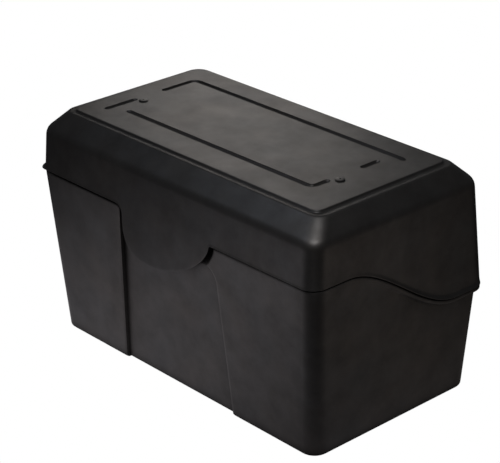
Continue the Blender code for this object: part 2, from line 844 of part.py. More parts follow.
def build_hinge_screws():
    profile = [
        (0.0, -SCREW_LENGTH),
        (SCREW_RADIUS * 0.6, -SCREW_LENGTH),
        (SCREW_RADIUS, -SCREW_LENGTH + 0.0015),
        (SCREW_RADIUS, GAP),
        (SCREW_HEAD_RADIUS, GAP),
        (SCREW_HEAD_RADIUS * 0.86, SCREW_HEAD_HEIGHT * 0.67),
        (SCREW_HEAD_RADIUS * 0.45, SCREW_HEAD_HEIGHT),
        (0.0, SCREW_HEAD_HEIGHT),
    ]
    for part in ("tub", "lid"):
        for name, matrix in screw_matrices(part).items():
            mesh = lathe_mesh(f"hinge_screw_{name}", profile, 12)
            screw = add_object(f"hinge_screw_{name}", mesh, "zinc_steel", ZINC_STEEL, 30)
            screw.matrix_world = matrix


# ---------------------------------------------------------------- cable glands


def gland_matrix(y):
    """Local +Z points out of the left end wall, from a point on its outer face."""
    x = -tub_outline(GLAND_HEIGHT).half_length
    lean = Matrix.Rotation(-math.pi / 2 - math.atan(DRAFT), 4, "Y")
    return Matrix.Translation((x, y, GLAND_HEIGHT)) @ lean


def hexagon_with_bore(name, across_flats, bore, low, high):
    def build(bm):
        segments = 24
        outer, inner = [], []
        for step in range(segments):
            angle = math.tau * step / segments
            turn = (angle + math.pi / 6) % (math.pi / 3) - math.pi / 6
            reach = across_flats / 2 / math.cos(turn)
            outer.append((reach * math.cos(angle), reach * math.sin(angle)))
            inner.append((bore * math.cos(angle), bore * math.sin(angle)))
        levels = [(outer, low), (outer, high), (inner, high), (inner, low)]
        rings = [[(x, y, z) for x, y in ring] for ring, z in levels]
        bridge(bm, rings, close_last_to_first=True)

    return mesh_from(name, build)


def build_cable_glands():
    body_profile = [
        (GLAND_BORE_RADIUS, GLAND_NECK_TOP),
        (GLAND_NECK_RADIUS, GLAND_NECK_TOP),
        (GLAND_NECK_RADIUS, GLAND_COLLAR_HEIGHT),
        (GLAND_COLLAR_RADIUS, GLAND_COLLAR_HEIGHT),
        (GLAND_COLLAR_RADIUS, GAP),
        (GLAND_THREAD_RADIUS, GAP),
        (GLAND_THREAD_RADIUS, -GLAND_THREAD_LENGTH),
        (GLAND_BORE_RADIUS, -GLAND_THREAD_LENGTH),
    ]
    dome_foot = GLAND_COLLAR_HEIGHT + 2 * GAP
    dome_shoulder = GLAND_NECK_TOP + 0.001
    dome_profile = [
        (DOME_BORE_RADIUS, dome_foot),
        (DOME_RADIUS, dome_foot),
        (DOME_RADIUS, dome_shoulder),
        (DOME_RADIUS * 0.88, lerp(dome_shoulder, DOME_TOP, 0.7)),
        (DOME_RADIUS * 0.63, DOME_TOP),
        (DOME_MOUTH_RADIUS, DOME_TOP),
        (DOME_MOUTH_RADIUS, lerp(dome_shoulder, DOME_TOP, 0.46)),
        (DOME_BORE_RADIUS, dome_shoulder),
    ]
    seal_profile = [
        (SEAL_RADIUS, GLAND_COLLAR_HEIGHT),
        (SEAL_RADIUS, GLAND_NECK_TOP),
        (lerp(SEAL_RADIUS, SEAL_BORE_RADIUS, 0.57), SEAL_TOP),
        (SEAL_BORE_RADIUS, SEAL_TOP),
        (SEAL_BORE_RADIUS, GLAND_COLLAR_HEIGHT),
    ]
    nut_inner_face = LOCK_NUT_OUTER_FACE - LOCK_NUT_THICK
    lock_nut = hexagon_with_bore(
        "gland_lock_nut", LOCK_NUT_ACROSS_FLATS, GLAND_THREAD_RADIUS + GAP, nut_inner_face, LOCK_NUT_OUTER_FACE
    )
    for name, y in GLAND_Y.items():
        matrix = gland_matrix(y)
        pieces = {
            "body": (lathe_mesh("gland_body", body_profile), "gland_nylon", GLAND_NYLON),
            "dome_nut": (lathe_mesh("gland_dome_nut", dome_profile), "gland_nylon", GLAND_NYLON),
            "seal": (lathe_mesh("gland_seal", seal_profile), "black_rubber", BLACK_RUBBER),
            "lock_nut": (lock_nut.copy(), "gland_nylon", GLAND_NYLON),
        }
        for piece, (mesh, look_name, look) in pieces.items():
            obj = add_object(f"cable_gland_{name}_{piece}", mesh, look_name, look, 30)
            obj.matrix_world = matrix


# ---------------------------------------------------------------- mat and hold-down


def build_mat():
    length, width, thick = MAT_SIZE
    low = FLOOR + GAP
    mesh = prism_mesh("base_mat", box_corners(length / 2, width / 2), low, low + thick)
    add_object("base_mat", mesh, "black_rubber", BLACK_RUBBER)


def build_hold_down():
    half_length, half_width = BAR_LENGTH / 2, BAR_WIDTH / 2
    top = BAR_UNDERSIDE + BAR_HEIGHT
    channel = [
        (-half_width, BAR_UNDERSIDE),
        (-half_width, top),
        (half_width, top),
        (half_width, BAR_UNDERSIDE),
        (half_width - BAR_THICK, BAR_UNDERSIDE),
        (half_width - BAR_THICK, top - BAR_THICK),
        (-half_width + BAR_THICK, top - BAR_THICK),
        (-half_width + BAR_THICK, BAR_UNDERSIDE),
    ]
    bar_mesh = prism_mesh("hold_down_bar", channel, -half_length, half_length, "Y")
    bar = add_object("hold_down_bar", bar_mesh, "painted_steel", PAINTED_STEEL)
    for name, y in ROD_Y.items():
        hole = prism_mesh(
            f"bar_hole_{name}", circle_corners(ROD_RADIUS + GAP, centre=(0.0, y)), BAR_UNDERSIDE, top + 0.01
        )
        boolean(bar, cutter(f"bar_hole_{name}", hole), "DIFFERENCE")
        insert = [
            (ROD_RADIUS + GAP, BOSS_TOP - GAP),
            (INSERT_RADIUS, BOSS_TOP - GAP),
            (INSERT_RADIUS, INSERT_FLOOR + GAP),
            (ROD_RADIUS + GAP, INSERT_FLOOR + GAP),
        ]
        place(f"rod_insert_{name}", lathe_mesh("rod_insert", insert), y, "brass", BRASS)
        rod = [
            (0.0, ROD_BOTTOM),
            (ROD_RADIUS - ROD_CHAMFER, ROD_BOTTOM),
            (ROD_RADIUS, ROD_BOTTOM + ROD_CHAMFER),
            (ROD_RADIUS, ROD_TOP - ROD_CHAMFER),
            (ROD_RADIUS - ROD_CHAMFER, ROD_TOP),
            (0.0, ROD_TOP),
        ]
        place(f"hold_down_rod_{name}", lathe_mesh("hold_down_rod", rod), y, "zinc_steel", ZINC_STEEL)
        washer_low = top + GAP
        washer_high = washer_low + WASHER_THICK
        washer = [
            (ROD_RADIUS + GAP, washer_high),
            (WASHER_RADIUS, washer_high),
            (WASHER_RADIUS, washer_low),
            (ROD_RADIUS + GAP, washer_low),
        ]
        place(f"hold_down_washer_{name}", lathe_mesh("hold_down_washer", washer), y, "zinc_steel", ZINC_STEEL)
        build_wing_nut(name, y, washer_high + GAP)


def place(name, mesh, y, look_name, look):
    obj = add_object(name, mesh, look_name, look, 30)
    obj.location = (0.0, y, 0.0)
    return obj


def build_wing_nut(name, y, seat):
    """A tapered hub with two upright ears. Its origin is on the rod's axis at the nut's seat."""
    hub = [
        (ROD_RADIUS + GAP, NUT_HEIGHT),
        (NUT_TOP_RADIUS, NUT_HEIGHT),
        (NUT_FOOT_RADIUS, 0.0),
        (ROD_RADIUS + GAP, 0.0),
    ]
    nut = add_object(f"hold_down_wing_nut_{name}", lathe_mesh("wing_nut", hub), "zinc_steel", ZINC_STEEL, 30)
    nut.location = (0.0, y, seat)
    for side in (-1, 1):
        ear = [
            (side * EAR_ROOT_X, NUT_HEIGHT * 0.19),
            (side * EAR_REACH * 0.79, NUT_HEIGHT * 0.5),
            (side * EAR_REACH, EAR_TOP * 0.77),
            (side * EAR_REACH * 0.93, EAR_TOP),
            (side * EAR_REACH * 0.71, EAR_TOP * 0.92),
            (side * EAR_ROOT_X, NUT_HEIGHT * 0.85),
        ]
        helper = cutter(f"ear_{name}_{side}", prism_mesh("ear", ear, -EAR_THICK / 2, EAR_THICK / 2, "Y"))
        helper.location = nut.location
        boolean(nut, helper, "UNION")


def main():
    clear_scene()
    build_tub()
    build_lid()
    build_vent_plugs()
    build_hinges()
    build_hinge_screws()
    build_cable_glands()
    build_mat()
    build_hold_down()


main()
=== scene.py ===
"""Looks of the battery box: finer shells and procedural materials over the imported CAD, in a plain studio.

Metres, +Z up, in the frame of the CAD. The tub and the lid are rebuilt with rounded edges. The other pieces
keep their CAD shape, which is fine enough, and get new materials.
"""

import json
import math
from collections import namedtuple

import bmesh
import bpy
from mathutils import Matrix, Vector

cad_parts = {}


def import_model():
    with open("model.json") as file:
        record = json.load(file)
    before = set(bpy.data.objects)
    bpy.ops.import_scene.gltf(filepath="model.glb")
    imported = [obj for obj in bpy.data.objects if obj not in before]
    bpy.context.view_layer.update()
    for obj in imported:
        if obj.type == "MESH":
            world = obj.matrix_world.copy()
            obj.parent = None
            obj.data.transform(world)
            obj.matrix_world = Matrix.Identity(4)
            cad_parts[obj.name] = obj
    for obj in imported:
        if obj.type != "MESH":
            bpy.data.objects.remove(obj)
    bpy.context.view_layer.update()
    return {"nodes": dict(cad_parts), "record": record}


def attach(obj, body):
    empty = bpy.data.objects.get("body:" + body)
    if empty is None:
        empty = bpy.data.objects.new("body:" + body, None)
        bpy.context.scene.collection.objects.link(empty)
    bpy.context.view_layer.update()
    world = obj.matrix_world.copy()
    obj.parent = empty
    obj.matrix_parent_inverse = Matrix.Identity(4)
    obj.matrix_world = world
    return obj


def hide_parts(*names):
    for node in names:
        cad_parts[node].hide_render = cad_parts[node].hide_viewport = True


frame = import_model()

NODES = frame["nodes"]

Outline = namedtuple("Outline", "half_length front back radius")
Station = namedtuple("Station", "side along")
Light = namedtuple("Light", "place target size power colour")
Pool = namedtuple("Pool", "centre reach brightness tint")

# Tub, as in the CAD source
BASE_LENGTH = 0.550
BASE_WIDTH = 0.306
DRAFT = 0.066
CORNER_RADIUS = 0.0227
FOOT_RADIUS = 0.005
WALL_FOOT = 0.012
WALL = 0.005
FLOOR = 0.006
SEAM_FRONT = 0.262
SEAM_BACK = 0.166
SEAM_START = -0.108
SEAM_END = 0.100
SEAM_GAP = 0.0015
END_REACH = 0.138
RIM_HEIGHT = 0.005
RIM_THICK = 0.0025
RIM_CLEAR_FRONT = 0.0022
RIM_CLEAR = 0.0015
FLANGE_DEPTH = 0.006

# Details of the tub: a wider seam gap over the front's left flank, the flange's fade into the wall, roundings
LEFT_FLANK_GAP = 0.0033
FLANGE_FADE = 0.004
FLANGE_ROUND = 0.0012
RIM_ROUND = 0.0006
FLOOR_ROUND = 0.008
INNER_FOOT = 0.020
LEAST_RADIUS = 0.004

# Recess in the tub's front wall, with a steeper step and a deeper relief than in the CAD
RECESS_CENTRE = -0.006
RECESS_HALF_TOP = 0.0997
RECESS_FLARE = 0.070
RECESS_DEPTH_LOW = 0.005
RECESS_DEPTH_GAIN = 0.010
RECESS_TOP = 0.230
RECESS_CORNER = 0.024
RECESS_LEFT_CORNER = 0.010
RECESS_STEP = 0.0009
SHOULDER_WIDTH = 0.0045
SHOULDER_SHARE = 0.11
RELIEF_START = 0.224
RELIEF_SLOPE = 0.25
POCKET_SIDE = 0.0065
POCKET_UNDER = 0.008

# Lid, as in the CAD source
CREASE_HEIGHT = 0.324
TOP_HEIGHT = 0.353
CREASE_HALF_LENGTH = 0.2895
CREASE_FRONT = -0.1668
CREASE_BACK = 0.150
END_SLOPE = 0.032
FRONT_SLOPE = 0.073
BACK_SLOPE = 0.086
PANEL_HALF_LENGTH = 0.2555
PANEL_FRONT = -0.1298
PANEL_BACK = 0.1164
PANEL_RADIUS = 0.012
PANEL_STEP = 0.003
PANEL_THICK = 0.0045
LEDGE = 0.008
END_LEDGE = 0.012
LID_WALL = 0.004
VENT_PLACES = {"left": (-0.208, -0.036), "right": (0.203, -0.036)}
VENT_HOLE_RADIUS = 0.004

# Tongue of the lid, with small fillets where it leaves the seam
TONGUE_LEFT = -0.0965
TONGUE_LOWEST_X = -0.030
TONGUE_RIGHT = 0.090
TONGUE_DROP = 0.0715
TONGUE_LEFT_POWER = 3.0
TONGUE_RIGHT_POWER = 1.7
TONGUE_LEFT_FILLET = 0.016
TONGUE_RIGHT_FILLET = 0.004
TONGUE_ROUND_SHARE = 0.06
TONGUE_FADE = 0.02

# Grooves in the lid's panel: round cutters whose centre line lies a little above the panel
GROOVE_BEND = 0.010
GROOVE_RADIUS = 0.0052
GROOVE_LIFT = 0.0018

# Lines round the lid: the panel's rounded edge as (distance down, distance out), and its foot on the ledge as
# (distance up, distance out)
PANEL_EDGE = [(0.0, -0.0030), (0.0, -0.0016), (0.0001, -0.0009), (0.0005, -0.0003), (0.0011, 0.0)]
PANEL_FOOT = [(0.0007, 0.0005), (0.0002, 0.0010), (0.0, 0.0018)]

# The ledge rounds over into the chamfer, and the chamfer into the wall. Shares run down the chamfer.
LEDGE_ROUND = 0.0026
CHAMFER_FIRST = 0.06
CHAMFER_LAST = 0.80
CREASE_REACH = 0.009
SKIRT_LINE = 0.282

# The lid's lower edge: (distance up from the edge, how far it flares out, how far the tongue's rounds in)
EDGE_PROFILE = [
    (0.0090, 0.0, 0.0),
    (0.0072, 0.0001, 0.0001),
    (0.0058, 0.0003, 0.0003),
    (0.0046, 0.0007, 0.0006),
    (0.0035, 0.0012, 0.0010),
    (0.0025, 0.0017, 0.0015),
    (0.0016, 0.0021, 0.0021),
    (0.0009, 0.0022, 0.0026),
    (0.0004, 0.0020, 0.0030),
    (0.0001, 0.0015, 0.0033),
    (0.0, 0.0008, 0.0035),
]
FLARE_ON_FRONT = 0.12
FLARE_AT_LEFT_CORNER = 2.3
FLARE_AT_BACK = 1.3
FRONT_EDGE_SCALE = 0.45

# Steps of the meshes
END_STEPS = 64
CORNER_STEPS = 9
BACK_STEPS = 12
SHARP_DEGREES = 40
CARVED_SHARP_DEGREES = 35

# Sheen of moulded plastic, dulled by painted shade in corners, gaps and grooves
# Painted shade: how far it reaches, and the sheen left where it is deepest
PAINTED_SHADE_REACH = 0.019
PAINTED_SHADE_SHEEN = 0.03
OPEN_SHEEN = (0.38, 0.62)
COOL_SHEEN = (0.93, 0.96, 1.0)
WARM_SHEEN = (1.0, 0.93, 0.89)

# Studio. The pools of light on the floor are seen in reflections only.
FLOOR_HALF_SIZE = 6
FLOOR_DROP = 0.0002
FLOOR_LOW = 0.02
AMBIENT = 0.07
AMBIENT_COLOUR = (0.9, 0.95, 1.0)
WHITE = (1.0, 1.0, 1.0)
POOLS = [
    Pool((-0.16, -0.25), 0.72, 0.65, (1.0, 0.94, 0.975)),
    Pool((-0.18, -0.76), 0.48, 1.0, (1.0, 0.96, 1.0)),
    Pool((0.52, 0.13), 0.44, 0.27, (1.0, 0.88, 0.80)),
    Pool((1.00, 0.34), 0.44, 1.20, (1.0, 0.88, 0.80)),
    Pool((0.84, -0.76), 0.42, 0.75, (1.0, 0.95, 0.93)),
]
LIGHTS = {
    "back_left": Light((-1.05, 0.89, 0.94), (0, 0, 0.35), (0.55, 0.42), 2.1, (1.0, 0.94, 0.89)),
    "over_corner": Light((0.54, -0.49, 1.28), (0.25, -0.15, 0.33), (0.32, 0.32), 8.4, WHITE),
    "front_high": Light((-0.22, -0.51, 1.05), (0.1, -0.15, 0.33), (0.35, 0.35), 1.0, (0.80, 0.87, 1.0)),
}

CAMERA_PLACE = (1.7988, -1.6310, 1.3267)
CAMERA_YAW = -0.839
CAMERA_PITCH = -0.435
CAMERA_ROLL = -0.015
CAMERA_LENS = 133.24


def lerp(low, high, share):
    return low + (high - low) * share


def smooth(share):
    """Eases a share in and out, and keeps it between 0 and 1."""
    share = min(max(share, 0.0), 1.0)
    return share * share * (3 - 2 * share)


# ---------------------------------------------------------------- mesh helpers


def bridge(bm, rings):
    """A closed skin over rings of points, with a face across each end."""
    rows = [[bm.verts.new(point) for point in ring] for ring in rings]
    for low, high in zip(rows, rows[1:]):
        for here in range(len(low)):
            after = (here + 1) % len(low)
            bm.faces.new((low[here], low[after], high[after], high[here]))
    bm.faces.new(rows[0])
    bm.faces.new(rows[-1])


def mesh_over(name, rings):
    bm = bmesh.new()
    bridge(bm, rings)
    bmesh.ops.recalc_face_normals(bm, faces=bm.faces)
    mesh = bpy.data.meshes.new(name)
    bm.to_mesh(mesh)
    bm.free()
    shade(mesh, SHARP_DEGREES)
    return mesh


def shade(mesh, sharp_degrees):
    mesh.shade_smooth()
    mesh.set_sharp_from_angle(angle=math.radians(sharp_degrees))


def add_object(name, data):
    obj = bpy.data.objects.new(name, data)
    bpy.context.scene.collection.objects.link(obj)
    return obj


def add_piece(name, mesh, body, material):
    obj = add_object(name, mesh)
    mesh.materials.append(material)
    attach(obj, body)
    return obj


def carve(obj, cutters):
    """Cuts the cutters out of obj for good and removes them."""
    for cut in cutters:
        step = obj.modifiers.new(cut.name, "BOOLEAN")
        step.operation = "DIFFERENCE"
        step.solver = "EXACT"
        step.object = cut
    bpy.context.view_layer.update()
    graph = bpy.context.evaluated_depsgraph_get()
    carved = bpy.data.meshes.new_from_object(obj.evaluated_get(graph))
    shade(carved, CARVED_SHARP_DEGREES)
    obj.modifiers.clear()
    obj.data = carved
    for cut in cutters:
        bpy.data.objects.remove(cut, do_unlink=True)


# ---------------------------------------------------------------- outlines


def tub_outline(height):
    grow = DRAFT * height
    return Outline(BASE_LENGTH / 2 + grow, -BASE_WIDTH / 2 - grow, BASE_WIDTH / 2 + grow, CORNER_RADIUS)


def lid_outline(height):
    below = CREASE_HEIGHT - height
    return Outline(
        CREASE_HALF_LENGTH + END_SLOPE * below,
        CREASE_FRONT - FRONT_SLOPE * below,
        CREASE_BACK + BACK_SLOPE * below,
        CORNER_RADIUS,
    )


def grown(outline, out, back_out=None):
    """The outline moved outwards. Its back side can move by a distance of its own."""
    back = out if back_out is None else back_out
    radius = max(outline.radius + out, LEAST_RADIUS)
    return Outline(outline.half_length + out, outline.front - out, outline.back + back, radius)


def blend_outline(first, second, share):
    return Outline(*(lerp(a, b, share) for a, b in zip(first, second)))


def panel_outline():
    return Outline(PANEL_HALF_LENGTH, PANEL_FRONT, PANEL_BACK, PANEL_RADIUS)


def ledge_outline():
    """Where the ledge round the raised panel meets the chamfer. The ledge is wider at the two ends."""
    return grown(panel_outline(), LEDGE)._replace(half_length=PANEL_HALF_LENGTH + END_LEDGE)


def rim_outline(height):
    tub, lid = tub_outline(height), lid_outline(height)
    return Outline(
        min(lid.half_length - LID_WALL - RIM_CLEAR, tub.half_length - RIM_THICK),
        max(lid.front + LID_WALL + RIM_CLEAR_FRONT, tub.front + RIM_THICK),
        min(lid.back - LID_WALL - RIM_CLEAR, tub.back - RIM_THICK),
        CORNER_RADIUS - LID_WALL,
    )


def flange_outline(height):
    tub, lid = tub_outline(height), lid_outline(height)
    return Outline(max(tub.half_length, lid.half_length), tub.front, tub.back, CORNER_RADIUS)


def inside(outline_at, inset):
    """An outline that changes with height, moved inwards."""
    return lambda height: grown(outline_at(height), -inset)


def from_wall_to_flange(share):
    return lambda height: blend_outline(tub_outline(height), flange_outline(height), share)


def seam_height(y):
    return lerp(SEAM_FRONT, SEAM_BACK, smooth((y - SEAM_START) / (SEAM_END - SEAM_START)))


# ---------------------------------------------------------------- stations round the box


def side_stations(front_stations):
    """All stations of a ring, the way round from the right end by the back, the left end and the front."""
    corner = [step / CORNER_STEPS for step in range(CORNER_STEPS + 1)]
    end = [step / END_STEPS for step in range(1, END_STEPS)]
    stations = [Station("right", along) for along in end]
    stations += [Station("back_right", along) for along in corner]
    stations += [Station("back", step / BACK_STEPS) for step in range(1, BACK_STEPS)]
    stations += [Station("back_left", along) for along in corner]
    stations += [Station("left", along) for along in end]
    stations += [Station("front_left", along) for along in corner]
    stations += front_stations
    stations += [Station("front_right", along) for along in corner]
    return stations


def end_y(along, front_centre, back_centre):
    """The y of a station on an end wall, drawn in where the wall is too short for its full reach."""
    y = lerp(-END_REACH, END_REACH, along)
    room = -front_centre if y < 0 else back_centre
    return y * min(room / END_REACH, 1.0)


def corner_point(outline, along, turn_start, side_x, centre_y):
    angle = turn_start + along * math.pi / 2
    x = side_x * (outline.half_length - outline.radius) + outline.radius * math.cos(angle)
    return x, centre_y + outline.radius * math.sin(angle)


def side_point(station, outline):
    """(x, y) of a station that isn't on the front."""
    front_centre = outline.front + outline.radius
    back_centre = outline.back - outline.radius
    if station.side == "right":
        return outline.half_length, end_y(station.along, front_centre, back_centre)
    if station.side == "back_right":
        return corner_point(outline, station.along, 0.0, 1, back_centre)
    if station.side == "back":
        straight = outline.half_length - outline.radius
        return lerp(straight, -straight, station.along), outline.back
    if station.side == "back_left":
        return corner_point(outline, station.along, math.pi / 2, -1, back_centre)
    if station.side == "left":
        return -outline.half_length, end_y(1 - station.along, front_centre, back_centre)
    if station.side == "front_left":
        return corner_point(outline, station.along, math.pi, -1, front_centre)
    return corner_point(outline, station.along, -math.pi / 2, 1, front_centre)


def station_seam(station):
    if station.side == "right":
        return seam_height(lerp(-END_REACH, END_REACH, station.along))
    if station.side == "left":
        return seam_height(lerp(END_REACH, -END_REACH, station.along))
    if station.side.startswith("back"):
        return SEAM_BACK
    return SEAM_FRONT


# ---------------------------------------------------------------- tub


def pocket_edge(height):
    """Right edge of the pocket behind the tongue, a little outside the tongue's own edge."""
    power = TONGUE_RIGHT_POWER
    drop = max(SEAM_FRONT - height, 0.0) / (TONGUE_DROP + POCKET_UNDER)
    reach = TONGUE_RIGHT - TONGUE_LOWEST_X + POCKET_SIDE
    return TONGUE_LOWEST_X + reach * max(1 - min(drop, 1.0) ** power, 0.0) ** (1 / power)


def recess_sides(height):
    half = RECESS_HALF_TOP + RECESS_FLARE * (SEAM_FRONT - height)
    return RECESS_CENTRE - half, RECESS_CENTRE + half


def corner_inset(height, top, radius):
    """How far a side has turned away in a rounded corner that ends at the top."""
    into_corner = min(max(height - (top - radius), 0.0), radius)
    return radius - math.sqrt(radius**2 - into_corner**2)


def recess_edges(height):
    """The left side rounds away from the recess at the seam. The right one rounds over into the pocket."""
    left, right = recess_sides(height)
    left -= corner_inset(height, SEAM_FRONT, RECESS_LEFT_CORNER)
    if height > RECESS_TOP:
        return left, pocket_edge(height)
    return left, max(right - corner_inset(height, RECESS_TOP, RECESS_CORNER), pocket_edge(height))


def inner_recess_edges(height):
    """Inside the wall the recess stays wide up to the rim, so that the wall keeps its thickness."""
    left, right = recess_sides(height)
    left -= corner_inset(height, SEAM_FRONT, RECESS_LEFT_CORNER)
    return left, max(right, pocket_edge(height))


def recess_depth(height):
    """Deeper towards the top, and more so behind the tongue."""
    relief = max(height - RELIEF_START, 0.0) * RELIEF_SLOPE
    return RECESS_DEPTH_LOW + RECESS_DEPTH_GAIN * height + relief


def step_down(inside_edge):
    """Share of the recess's depth inside its edge: a rounded shoulder, then a steep step."""
    if inside_edge > 0:
        return lerp(SHOULDER_SHARE, 1.0, inside_edge / RECESS_STEP)
    return SHOULDER_SHARE * (1 + inside_edge / SHOULDER_WIDTH) ** 2


def tub_front_stations():
    """Left to right: flank, rounded shoulder and steep step, recess, step and shoulder, flank."""
    flank_steps = 12
    panel_steps = 40
    shoulder_steps = 8
    step_steps = 3
    offsets = [-SHOULDER_WIDTH * (1 - step / shoulder_steps) for step in range(shoulder_steps + 1)]
    offsets += [RECESS_STEP * (step + 1) / step_steps for step in range(step_steps)]
    zones = [("left_flank", step / flank_steps) for step in range(1, flank_steps)]
    zones += [("left_edge", offset) for offset in offsets]
    zones += [("panel", step / panel_steps) for step in range(1, panel_steps)]
    zones += [("right_edge", offset) for offset in reversed(offsets)]
    zones += [("right_flank", step / flank_steps) for step in range(1, flank_steps)]
    return [Station("front", zone) for zone in zones]


def tub_front_point(station, outline, height, widen):
    """(x, depth) of a front station. Widen moves the recess's two edges apart."""
    straight = outline.half_length - outline.radius
    left, right = inner_recess_edges(height) if widen else recess_edges(height)
    left, right = left - widen, right + widen
    zone, along = station.along
    if zone == "left_flank":
        return lerp(-straight, left - SHOULDER_WIDTH, along), 0.0
    if zone == "right_flank":
        return lerp(right + SHOULDER_WIDTH, straight, along), 0.0
    if zone == "panel":
        return lerp(left + RECESS_STEP, right - RECESS_STEP, along), recess_depth(height)
    x = left + along if zone == "left_edge" else right - along
    return x, recess_depth(height) * step_down(along)


def wall_heights(top):
    """Levels of the outer wall at the front: even steps, and closer ones round the recess's top corner."""
    wall_steps = 60
    corner_steps = 12
    just_above = 0.0003
    heights = [lerp(WALL_FOOT, top, step / wall_steps) for step in range(wall_steps)]
    for step in range(corner_steps + 1):
        turn = step / corner_steps * math.pi / 2
        heights.append(RECESS_TOP - RECESS_CORNER * (1 - math.sin(turn)))
    heights.append(RECESS_TOP + just_above)
    return sorted(heights)


class TubLoft:
    """Collects the tub's rings, up the outside, over the rim and down the inside to the floor."""

    def __init__(self):
        self.stations = side_stations(tub_front_stations())
        self.rings = []
        self.flange_low = SEAM_GAP + FLANGE_DEPTH
        self.flange_foot = self.flange_low + FLANGE_FADE

    def add(self, height_at, outline_at, widen):
        """A ring whose height can differ from station to station."""
        ring = []
        for station in self.stations:
            height = height_at(station)
            outline = outline_at(height)
            if station.side == "front":
                x, depth = tub_front_point(station, outline, height, widen)
                y = outline.front + depth
            else:
                x, y = side_point(station, outline)
            ring.append((x, y, height))
        self.rings.append(ring)

    def level(self, height, outline_at, widen=0.0):
        self.add(lambda station: height, outline_at, widen)

    def below_seam(self, depth, outline_at, widen=0.0):
        self.add(lambda station: station_seam(station) - depth, outline_at, widen)

    def under_gap(self, depth, outline_at, widen=0.0):
        """Below the seam's gap, which is wider over the front's left flank."""

        def height_at(station):
            on_left_flank = station.side == "front" and station.along[0] in ("left_flank", "left_edge")
            return station_seam(station) - (LEFT_FLANK_GAP if on_left_flank else SEAM_GAP) - depth

        self.add(height_at, outline_at, widen)

    def up_the_wall(self, share, foot, outline_at, widen=0.0):
        """At a share of the way from a level foot to the flange."""

        def height_at(station):
            return lerp(foot, station_seam(station) - self.flange_foot, share)

        self.add(height_at, outline_at, widen)

    def outer_wall(self):
        foot_steps = 6
        for step in range(foot_steps + 1):
            angle = step / foot_steps * math.pi / 2
            inset = FOOT_RADIUS * (1 - math.sin(angle))
            self.level(FOOT_RADIUS * (1 - math.cos(angle)), inside(tub_outline, inset))
        self.level(lerp(FOOT_RADIUS, WALL_FOOT, 0.5), tub_outline)
        wall_top = SEAM_FRONT - self.flange_foot
        for height in wall_heights(wall_top):
            self.up_the_wall((height - WALL_FOOT) / (wall_top - WALL_FOOT), WALL_FOOT, tub_outline)

    def flange(self):
        """A soft swelling out of the wall, with a rounded upper edge."""
        low, foot = self.flange_low, self.flange_foot
        self.below_seam(foot, tub_outline)
        self.below_seam(lerp(low, foot, 0.5), from_wall_to_flange(0.35))
        self.below_seam(low, from_wall_to_flange(0.9))
        self.below_seam(low - FLANGE_ROUND, flange_outline)
        self.under_gap(FLANGE_ROUND, flange_outline)
        self.under_gap(FLANGE_ROUND / 4, inside(flange_outline, FLANGE_ROUND / 3))
        self.under_gap(0.0, inside(flange_outline, FLANGE_ROUND))

    def rim(self):
        """The upstand that the lid fits over, with its two upper edges rounded."""
        round_height = 0.0005
        self.under_gap(0.0, rim_outline, RIM_THICK)
        self.below_seam(-RIM_HEIGHT + round_height, rim_outline, RIM_THICK)
        self.below_seam(-RIM_HEIGHT, inside(rim_outline, RIM_ROUND), RIM_THICK)
        self.below_seam(-RIM_HEIGHT, inside(rim_outline, RIM_THICK - RIM_ROUND), 2 * RIM_THICK)
        self.below_seam(-RIM_HEIGHT + round_height, inside(rim_outline, RIM_THICK), 2 * RIM_THICK)
        self.below_seam(self.flange_foot, inside(rim_outline, RIM_THICK), 2 * RIM_THICK)

    def inner_wall(self):
        inner_steps = 10
        highest_share = 0.92
        for step in range(inner_steps + 1):
            share = highest_share * (1 - step / inner_steps)
            self.up_the_wall(share, INNER_FOOT, inside(tub_outline, WALL), WALL)
        floor_steps = 5
        for step in range(floor_steps + 1):
            angle = step / floor_steps * math.pi / 2
            rise = FLOOR_ROUND * (1 - math.sin(angle))
            inset = WALL + FLOOR_ROUND * (1 - math.cos(angle))
            self.level(FLOOR + rise, inside(tub_outline, inset), WALL)


def tub_rings():
    loft = TubLoft()
    loft.outer_wall()
    loft.flange()
    loft.rim()
    loft.inner_wall()
    return loft.rings


# ---------------------------------------------------------------- tongue


def tongue_point(turn, left):
    """A point of the tongue's edge. Turn runs from 0 at the seam to a quarter turn at the lowest point."""
    power = TONGUE_LEFT_POWER if left else TONGUE_RIGHT_POWER
    reach = TONGUE_LOWEST_X - TONGUE_LEFT if left else TONGUE_RIGHT - TONGUE_LOWEST_X
    across = math.cos(turn) ** (2 / power) * reach
    drop = math.sin(turn) ** (2 / power) * TONGUE_DROP
    return Vector((TONGUE_LOWEST_X + (-across if left else across), SEAM_FRONT - drop))


def fillet_turn(fillet_size, power):
    """The turn at which the tongue's edge is one fillet below the seam."""
    return math.asin((fillet_size / TONGUE_DROP) ** (power / 2))


def fillet(start, corner_x, end):
    """A short curve from the seam into the tongue's side."""
    steps = 5
    corner = Vector((corner_x, SEAM_FRONT))
    points = []
    for step in range(steps + 1):
        share = step / steps
        points.append(start * (1 - share) ** 2 + corner * 2 * share * (1 - share) + end * share**2)
    return points


